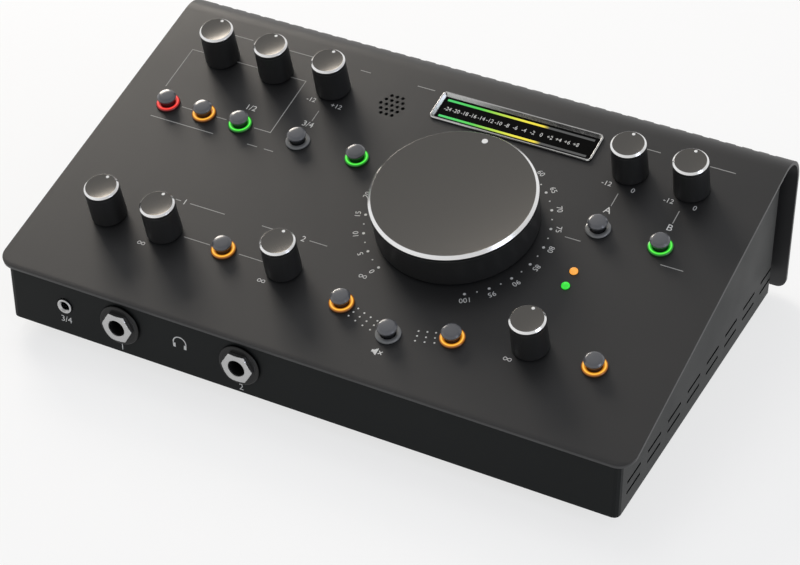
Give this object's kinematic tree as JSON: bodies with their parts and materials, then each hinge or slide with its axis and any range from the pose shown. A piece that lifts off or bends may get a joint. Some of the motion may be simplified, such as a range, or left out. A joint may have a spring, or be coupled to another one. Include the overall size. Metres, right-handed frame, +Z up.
{
  "type": "studio monitor controller",
  "caption": "Desktop studio monitor controller with a sloped bent-sheet panel, a large volume knob, small level knobs, lit push buttons, a level meter and rear audio jacks.",
  "frame": {"origin": "middle of the underside of the bounding box, on the table", "axes": "+X to the right along the panel's width, +Y to the rear, +Z up"},
  "size_m": [0.262, 0.1656, 0.0811],
  "materials": {
    "powder_coat": "satin",
    "black_coat": "satin",
    "board_laminate": "satin",
    "satin_metal": "satin",
    "dark_window": "gloss",
    "jack_plastic": "satin",
    "nickel": "polished",
    "rubber": "matte",
    "red_light": "gloss",
    "amber_light": "gloss",
    "green_light": "gloss",
    "clear_plastic": "gloss",
    "knob_plastic": "satin",
    "turned_aluminium": "satin",
    "smoked_plastic": "gloss"
  },
  "bodies": {
    "housing": {"top_cover": "powder_coat", "chassis_tray": "black_coat", "bottom_cover": "black_coat", "main_board": "board_laminate", "rear_board": "board_laminate", "meter_bezel": "satin_metal", "meter_window": "dark_window", "phone_jack_1": "jack_plastic", "phone_jack_2": "jack_plastic", "stereo_in_jack": "nickel", "combo_input_1": "jack_plastic", "combo_input_2": "jack_plastic", "usb_socket": "nickel", "dc_socket": "jack_plastic", "rubber_foot_front_left": "rubber", "rubber_foot_front_right": "rubber", "rubber_foot_rear_left": "rubber", "rubber_foot_rear_right": "rubber", "cue_jack_left": "jack_plastic", "cue_jack_right": "jack_plastic", "monitor_b_jack_left": "jack_plastic", "monitor_b_jack_right": "jack_plastic", "monitor_a_jack_left": "jack_plastic", "monitor_a_jack_right": "jack_plastic", "light_ring_phantom_power": "red_light", "light_ring_stereo_pair": "amber_light", "light_ring_source_1_2": "green_light", "light_ring_source_3_4": "clear_plastic", "light_ring_source_usb": "green_light", "light_ring_monitor_a": "clear_plastic", "light_ring_monitor_b": "green_light", "light_ring_phones_source": "amber_light", "light_ring_mono": "amber_light", "light_ring_mute": "clear_plastic", "light_ring_dim": "amber_light", "light_ring_cue": "amber_light"},
    "knob_gain_1": {"knob_gain_1": "knob_plastic"},
    "knob_gain_2": {"knob_gain_2": "knob_plastic"},
    "knob_line_trim": {"knob_line_trim": "knob_plastic"},
    "knob_monitor_a_trim": {"knob_monitor_a_trim": "knob_plastic"},
    "knob_monitor_b_trim": {"knob_monitor_b_trim": "knob_plastic"},
    "knob_direct_monitor": {"knob_direct_monitor": "knob_plastic"},
    "knob_phones_1": {"knob_phones_1": "knob_plastic"},
    "knob_phones_2": {"knob_phones_2": "knob_plastic"},
    "knob_talkback": {"knob_talkback": "knob_plastic"},
    "volume_knob": {"volume_knob": "knob_plastic", "volume_knob_cap": "turned_aluminium"},
    "button_phantom_power": {"button_phantom_power": "smoked_plastic"},
    "button_stereo_pair": {"button_stereo_pair": "smoked_plastic"},
    "button_source_1_2": {"button_source_1_2": "smoked_plastic"},
    "button_source_3_4": {"button_source_3_4": "smoked_plastic"},
    "button_source_usb": {"button_source_usb": "smoked_plastic"},
    "button_monitor_a": {"button_monitor_a": "smoked_plastic"},
    "button_monitor_b": {"button_monitor_b": "smoked_plastic"},
    "button_phones_source": {"button_phones_source": "smoked_plastic"},
    "button_mono": {"button_mono": "smoked_plastic"},
    "button_mute": {"button_mute": "smoked_plastic"},
    "button_dim": {"button_dim": "smoked_plastic"},
    "button_cue": {"button_cue": "smoked_plastic"},
    "power_switch": {"power_switch": "jack_plastic"}
  },
  "joints": [
    {"name": "knob_gain_1_turn", "type": "hinge", "parent": "housing", "child": "knob_gain_1", "pos_m": [-0.10169, 0.04146, 0.06394], "axis": [0, -0.2511, 0.968], "range_deg": [-150, 150]},
    {"name": "knob_gain_2_turn", "type": "hinge", "parent": "housing", "child": "knob_gain_2", "pos_m": [-0.0768, 0.04146, 0.06394], "axis": [0, -0.2511, 0.968], "range_deg": [-150, 150]},
    {"name": "knob_line_trim_turn", "type": "hinge", "parent": "housing", "child": "knob_line_trim", "pos_m": [-0.0508, 0.04146, 0.06394], "axis": [0, -0.2511, 0.968], "range_deg": [-150, 150]},
    {"name": "knob_monitor_a_trim_turn", "type": "hinge", "parent": "housing", "child": "knob_monitor_a_trim", "pos_m": [0.0768, 0.04146, 0.06394], "axis": [0, -0.2511, 0.968], "range_deg": [-150, 150]},
    {"name": "knob_monitor_b_trim_turn", "type": "hinge", "parent": "housing", "child": "knob_monitor_b_trim", "pos_m": [0.10169, 0.04146, 0.06394], "axis": [0, -0.2511, 0.968], "range_deg": [-150, 150]},
    {"name": "knob_direct_monitor_turn", "type": "hinge", "parent": "housing", "child": "knob_direct_monitor", "pos_m": [-0.10169, -0.04538, 0.04141], "axis": [0, -0.2511, 0.968], "range_deg": [-150, 150]},
    {"name": "knob_phones_1_turn", "type": "hinge", "parent": "housing", "child": "knob_phones_1", "pos_m": [-0.0768, -0.04538, 0.04141], "axis": [0, -0.2511, 0.968], "range_deg": [-150, 150]},
    {"name": "knob_phones_2_turn", "type": "hinge", "parent": "housing", "child": "knob_phones_2", "pos_m": [-0.02469, -0.04538, 0.04141], "axis": [0, -0.2511, 0.968], "range_deg": [-150, 150]},
    {"name": "knob_talkback_turn", "type": "hinge", "parent": "housing", "child": "knob_talkback", "pos_m": [0.0768, -0.04538, 0.04141], "axis": [0, -0.2511, 0.968], "range_deg": [-150, 150]},
    {"name": "volume_knob_turn", "type": "hinge", "parent": "housing", "child": "volume_knob", "pos_m": [0.0261, -0.00259, 0.05251], "axis": [0, -0.2511, 0.968], "range_deg": [-150, 150]},
    {"name": "button_phantom_power_press", "type": "slide", "parent": "housing", "child": "button_phantom_power", "axis": [0, 0.2511, -0.968], "range_m": [0, 0.0012], "stiffness_N_per_m": 300},
    {"name": "button_stereo_pair_press", "type": "slide", "parent": "housing", "child": "button_stereo_pair", "axis": [0, 0.2511, -0.968], "range_m": [0, 0.0012], "stiffness_N_per_m": 300},
    {"name": "button_source_1_2_press", "type": "slide", "parent": "housing", "child": "button_source_1_2", "axis": [0, 0.2511, -0.968], "range_m": [0, 0.0012], "stiffness_N_per_m": 300},
    {"name": "button_source_3_4_press", "type": "slide", "parent": "housing", "child": "button_source_3_4", "axis": [0, 0.2511, -0.968], "range_m": [0, 0.0012], "stiffness_N_per_m": 300},
    {"name": "button_source_usb_press", "type": "slide", "parent": "housing", "child": "button_source_usb", "axis": [0, 0.2511, -0.968], "range_m": [0, 0.0012], "stiffness_N_per_m": 300},
    {"name": "button_monitor_a_press", "type": "slide", "parent": "housing", "child": "button_monitor_a", "axis": [0, 0.2511, -0.968], "range_m": [0, 0.0012], "stiffness_N_per_m": 300},
    {"name": "button_monitor_b_press", "type": "slide", "parent": "housing", "child": "button_monitor_b", "axis": [0, 0.2511, -0.968], "range_m": [0, 0.0012], "stiffness_N_per_m": 300},
    {"name": "button_phones_source_press", "type": "slide", "parent": "housing", "child": "button_phones_source", "axis": [0, 0.2511, -0.968], "range_m": [0, 0.0012], "stiffness_N_per_m": 300},
    {"name": "button_mono_press", "type": "slide", "parent": "housing", "child": "button_mono", "axis": [0, 0.2511, -0.968], "range_m": [0, 0.0012], "stiffness_N_per_m": 300},
    {"name": "button_mute_press", "type": "slide", "parent": "housing", "child": "button_mute", "axis": [0, 0.2511, -0.968], "range_m": [0, 0.0012], "stiffness_N_per_m": 300},
    {"name": "button_dim_press", "type": "slide", "parent": "housing", "child": "button_dim", "axis": [0, 0.2511, -0.968], "range_m": [0, 0.0012], "stiffness_N_per_m": 300},
    {"name": "button_cue_press", "type": "slide", "parent": "housing", "child": "button_cue", "axis": [0, 0.2511, -0.968], "range_m": [0, 0.0012], "stiffness_N_per_m": 300},
    {"name": "power_switch_press", "type": "slide", "parent": "housing", "child": "power_switch", "axis": [0, -1, 0], "range_m": [0, 0.002], "stiffness_N_per_m": 400}
  ]
}
